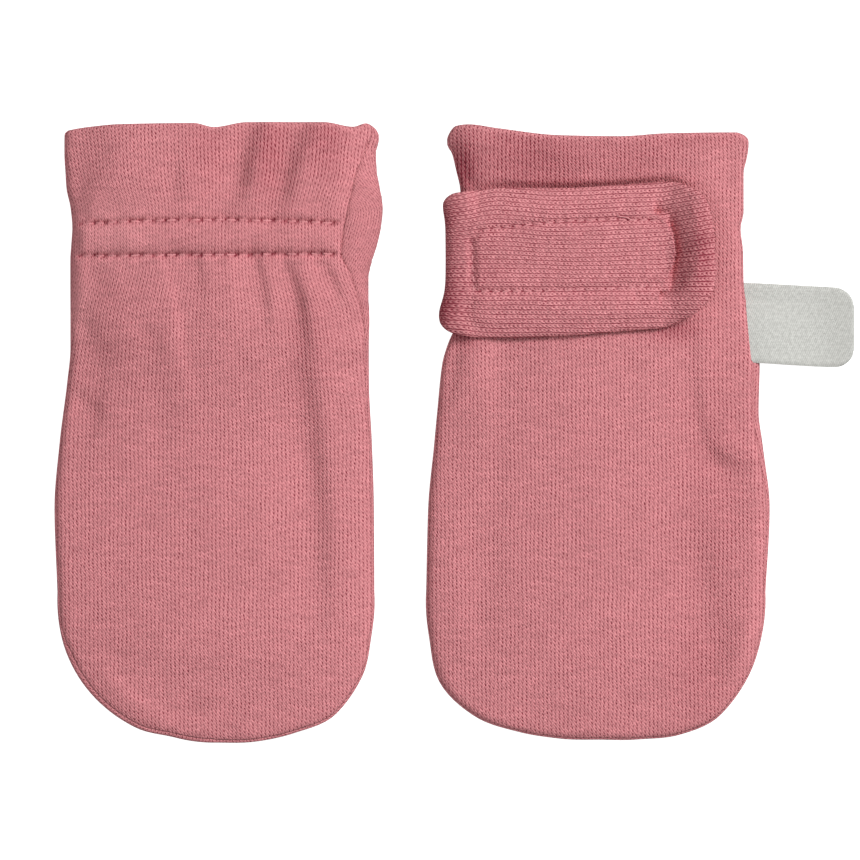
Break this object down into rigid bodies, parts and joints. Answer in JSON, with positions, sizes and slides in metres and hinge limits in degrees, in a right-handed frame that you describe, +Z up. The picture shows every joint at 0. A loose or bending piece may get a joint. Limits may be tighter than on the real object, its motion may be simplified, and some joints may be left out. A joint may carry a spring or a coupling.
{
  "type": "pair of baby mittens",
  "caption": "Pair of thumbless knitted baby mittens laid flat, with a gathered wrist, a hook-and-loop wrist strap and a side label.",
  "frame": {"origin": "middle of the pair's bounding box, on the surface that the pair lies on", "axes": "+X across the pair, from the left mitten to the right one and its label; +Y from the finger tips to the wrists; +Z up from the surface"},
  "size_m": [0.1602, 0.1241, 0.01],
  "materials": {
    "pink_knit": "dusty pink interlock cotton knit, soft and matt",
    "fastening_tape": "dusty pink hook and loop tape, matt",
    "elastic": "white flat braided elastic",
    "label_tape": "pale grey woven polyester tape with a faint sheen"
  },
  "bodies": {
    "root": {"left_palm_panel": "pink_knit", "left_back_panel": "pink_knit", "left_strap": "pink_knit", "left_elastic": "elastic", "left_hook_tape": "fastening_tape", "left_loop_tape": "fastening_tape", "right_palm_panel": "pink_knit", "right_back_panel": "pink_knit", "right_strap": "pink_knit", "right_elastic": "elastic", "right_hook_tape": "fastening_tape", "right_loop_tape": "fastening_tape", "right_label": "label_tape"}
  },
  "joints": []
}
